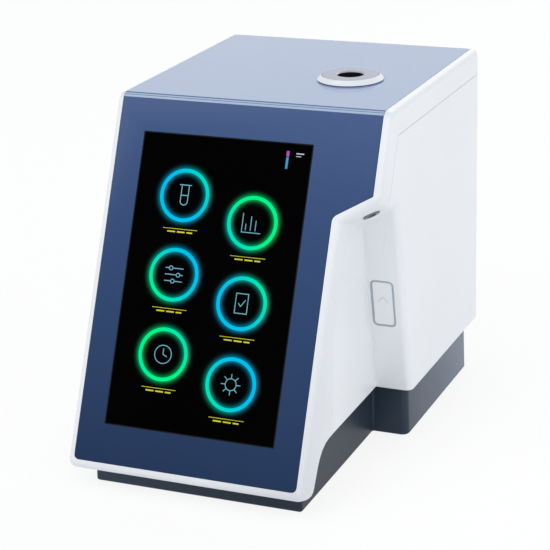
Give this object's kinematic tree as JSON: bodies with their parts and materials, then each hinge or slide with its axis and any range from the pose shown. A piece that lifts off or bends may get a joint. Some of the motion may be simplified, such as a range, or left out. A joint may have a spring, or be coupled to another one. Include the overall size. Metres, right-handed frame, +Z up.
{
  "type": "hematology analyzer",
  "caption": "Desktop blood cell analyser with a leaning touch screen, a tube port on top and a sampling niche at the front corner; needles, pump, fan, start plate and switch move.",
  "frame": {"origin": "middle of the footprint, on the surface that the rubber feet stand on", "axes": "+X to the viewer's right, +Y from the screen to the back, +Z up"},
  "size_m": [0.218, 0.3285, 0.2804],
  "materials": {
    "white_housing": "satin white moulded plastic",
    "blue_panel": "gloss dark blue panel",
    "screen_glass": "black touch glass",
    "slate_base": "matt slate plastic",
    "foot_rubber": "matt rubber",
    "grey_plastic": "matt engineering plastic",
    "dark_plastic": "matt black plastic",
    "clear_plastic": "clear acrylic",
    "sheet_metal": "zinc-plated sheet",
    "bright_steel": "ground steel",
    "aluminium": "turned aluminium",
    "circuit_board": "green solder mask",
    "hose": "soft translucent hose"
  },
  "bodies": {
    "housing": {"base_tray": "slate_base", "chassis_frame": "sheet_metal", "counting_chamber": "clear_plastic", "data_sockets": "bright_steel", "display_module": "sheet_metal", "fan_frame": "dark_plastic", "front_frame": "white_housing", "front_panel": "blue_panel", "hose_bay": "dark_plastic", "left_cover": "white_housing", "main_board": "circuit_board", "mixing_chambers": "clear_plastic", "needle_outlet": "grey_plastic", "piercer_bracket": "sheet_metal", "piercer_guide_rod": "bright_steel", "piercer_motor": "dark_plastic", "port_ring": "white_housing", "power_inlet": "dark_plastic", "power_supply": "sheet_metal", "pump_head": "grey_plastic", "pump_motor": "bright_steel", "reagent_hose": "hose", "rear_cover": "white_housing", "right_cover": "white_housing", "rubber_foot_1": "foot_rubber", "rubber_foot_2": "foot_rubber", "rubber_foot_3": "foot_rubber", "rubber_foot_4": "foot_rubber", "sampler_bracket": "sheet_metal", "sampler_guide_rod": "bright_steel", "sampler_motor": "dark_plastic", "start_switch": "dark_plastic", "switch_body": "dark_plastic", "syringe_barrel": "clear_plastic", "syringe_bracket": "sheet_metal", "syringe_guide_rod": "bright_steel", "syringe_motor": "dark_plastic", "top_panel": "blue_panel", "touch_glass": "screen_glass", "tube_cup": "grey_plastic", "valve_coils": "dark_plastic", "valve_manifold": "clear_plastic", "waste_hose": "hose"},
    "start_plate": {"start_plate": "white_housing"},
    "tube_adapter": {"tube_adapter": "grey_plastic"},
    "sampler_carriage": {"sampler_carriage": "grey_plastic", "sampler_needle": "bright_steel"},
    "sampler_spindle": {"sampler_spindle": "bright_steel"},
    "piercer_carriage": {"piercer_carriage": "grey_plastic", "piercer_needle": "bright_steel"},
    "piercer_spindle": {"piercer_spindle": "bright_steel"},
    "syringe_carriage": {"syringe_carriage": "grey_plastic", "syringe_plunger": "bright_steel"},
    "syringe_spindle": {"syringe_spindle": "bright_steel"},
    "pump_rotor": {"pump_rotor": "aluminium"},
    "pump_roller_1": {"pump_roller_1": "grey_plastic"},
    "pump_roller_2": {"pump_roller_2": "grey_plastic"},
    "fan_rotor": {"fan_rotor": "dark_plastic"},
    "power_rocker": {"power_rocker": "dark_plastic"}
  },
  "joints": [
    {"name": "start_press", "type": "slide", "parent": "housing", "child": "start_plate", "axis": [0, 0.9848, 0.1736], "range_m": [0, 0.0015], "stiffness_N_per_m": 600, "springref_m": -0.0005},
    {"name": "adapter_lift", "type": "slide", "parent": "housing", "child": "tube_adapter", "axis": [0, 0, 1], "range_m": [0, 0.04]},
    {"name": "sampler_travel", "type": "slide", "parent": "housing", "child": "sampler_carriage", "axis": [0, -0.4115, -0.9114], "range_m": [0, 0.045]},
    {"name": "sampler_spin", "type": "hinge", "parent": "housing", "child": "sampler_spindle", "pos_m": [0.062, -0.04498, 0.20899], "axis": [0, -0.4115, -0.9114], "range_deg": [0, 1621]},
    {"name": "piercer_travel", "type": "slide", "parent": "housing", "child": "piercer_carriage", "axis": [0, 0, 1], "range_m": [0, 0.041]},
    {"name": "piercer_spin", "type": "hinge", "parent": "housing", "child": "piercer_spindle", "pos_m": [0.0263, 0.00165, 0.1265], "axis": [0, 0, 1], "range_deg": [0, 1477]},
    {"name": "syringe_travel", "type": "slide", "parent": "housing", "child": "syringe_carriage", "axis": [0, 0, 1], "range_m": [0, 0.047]},
    {"name": "syringe_spin", "type": "hinge", "parent": "housing", "child": "syringe_spindle", "pos_m": [-0.0088, 0.11175, 0.0805], "axis": [0, 0, 1], "range_deg": [0, 1693]},
    {"name": "pump_spin", "type": "hinge", "parent": "housing", "child": "pump_rotor", "pos_m": [-0.0219, 0.12175, 0.1925], "axis": [1, 0, 0], "continuous": true},
    {"name": "roller_spin_1", "type": "hinge", "parent": "pump_rotor", "child": "pump_roller_1", "pos_m": [-0.02825, 0.13025, 0.1925], "axis": [1, 0, 0], "continuous": true},
    {"name": "roller_spin_2", "type": "hinge", "parent": "pump_rotor", "child": "pump_roller_2", "pos_m": [-0.02825, 0.11325, 0.1925], "axis": [1, 0, 0], "continuous": true},
    {"name": "fan_spin", "type": "hinge", "parent": "housing", "child": "fan_rotor", "pos_m": [-0.0505, 0.14715, 0.1945], "axis": [0, 1, 0], "continuous": true},
    {"name": "power_tilt", "type": "hinge", "parent": "housing", "child": "power_rocker", "pos_m": [0.074, 0.16225, 0.133], "axis": [1, 0, 0], "range_deg": [0, 16]}
  ],
  "couplings": [
    {"joint": "sampler_spin", "follows": "sampler_travel", "rad_per_m": 628.32},
    {"joint": "piercer_spin", "follows": "piercer_travel", "rad_per_m": 628.32},
    {"joint": "syringe_spin", "follows": "syringe_travel", "rad_per_m": 628.32},
    {"joint": "roller_spin_1", "follows": "pump_spin", "ratio": -3.656},
    {"joint": "roller_spin_2", "follows": "pump_spin", "ratio": -3.656}
  ]
}
